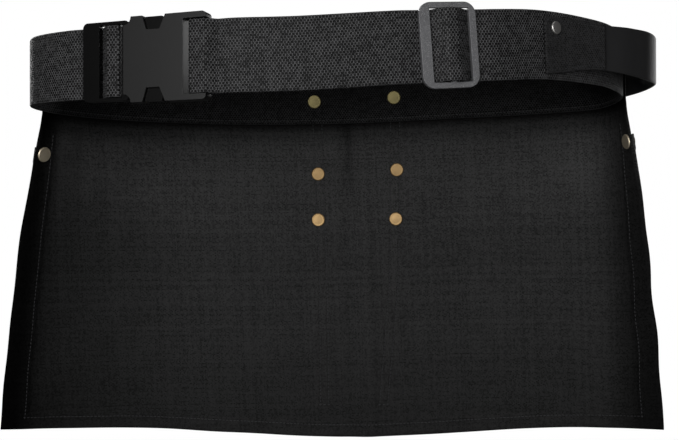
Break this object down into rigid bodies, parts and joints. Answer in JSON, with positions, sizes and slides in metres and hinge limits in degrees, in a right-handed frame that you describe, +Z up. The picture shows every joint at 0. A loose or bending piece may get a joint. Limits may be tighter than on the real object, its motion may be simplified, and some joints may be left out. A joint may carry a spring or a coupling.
{
  "type": "tool apron",
  "caption": "Waist apron for nails and tools: a canvas panel with pockets on a web belt with a side-release buckle, a slide adjuster and a hammer loop.",
  "frame": {"origin": "middle of the waist that the belt goes round, at the belt's mid-height", "axes": "+X to the right seen from the wearer's back, +Y from the wearer's back to the pockets at the front, +Z up"},
  "size_m": [0.5805, 0.291, 0.3683],
  "materials": {
    "web": "woven black polypropylene web",
    "canvas": "dull black canvas",
    "buckle": "smooth black acetal",
    "adjuster": "grained grey plastic",
    "loop_cloth": "dull black canvas",
    "loop_leather": "smooth black leather",
    "dark_steel": "aged dark steel",
    "brass": "aged satin brass"
  },
  "bodies": {
    "root": {"waist_web": "web", "buckle_tongue": "buckle", "buckle_socket": "buckle", "slide_adjuster": "adjuster", "loop_strap": "loop_cloth", "loop_bend": "loop_leather", "loop_rivet": "dark_steel", "back_panel": "canvas", "main_pocket_left": "canvas", "small_pocket_left": "canvas", "main_pocket_right": "canvas", "small_pocket_right": "canvas", "band_rivet_left": "brass", "band_rivet_right": "brass", "upper_rivet_left": "brass", "upper_rivet_right": "brass", "lower_rivet_left": "brass", "lower_rivet_right": "brass", "edge_rivet_left": "brass", "edge_rivet_right": "brass"}
  },
  "joints": []
}
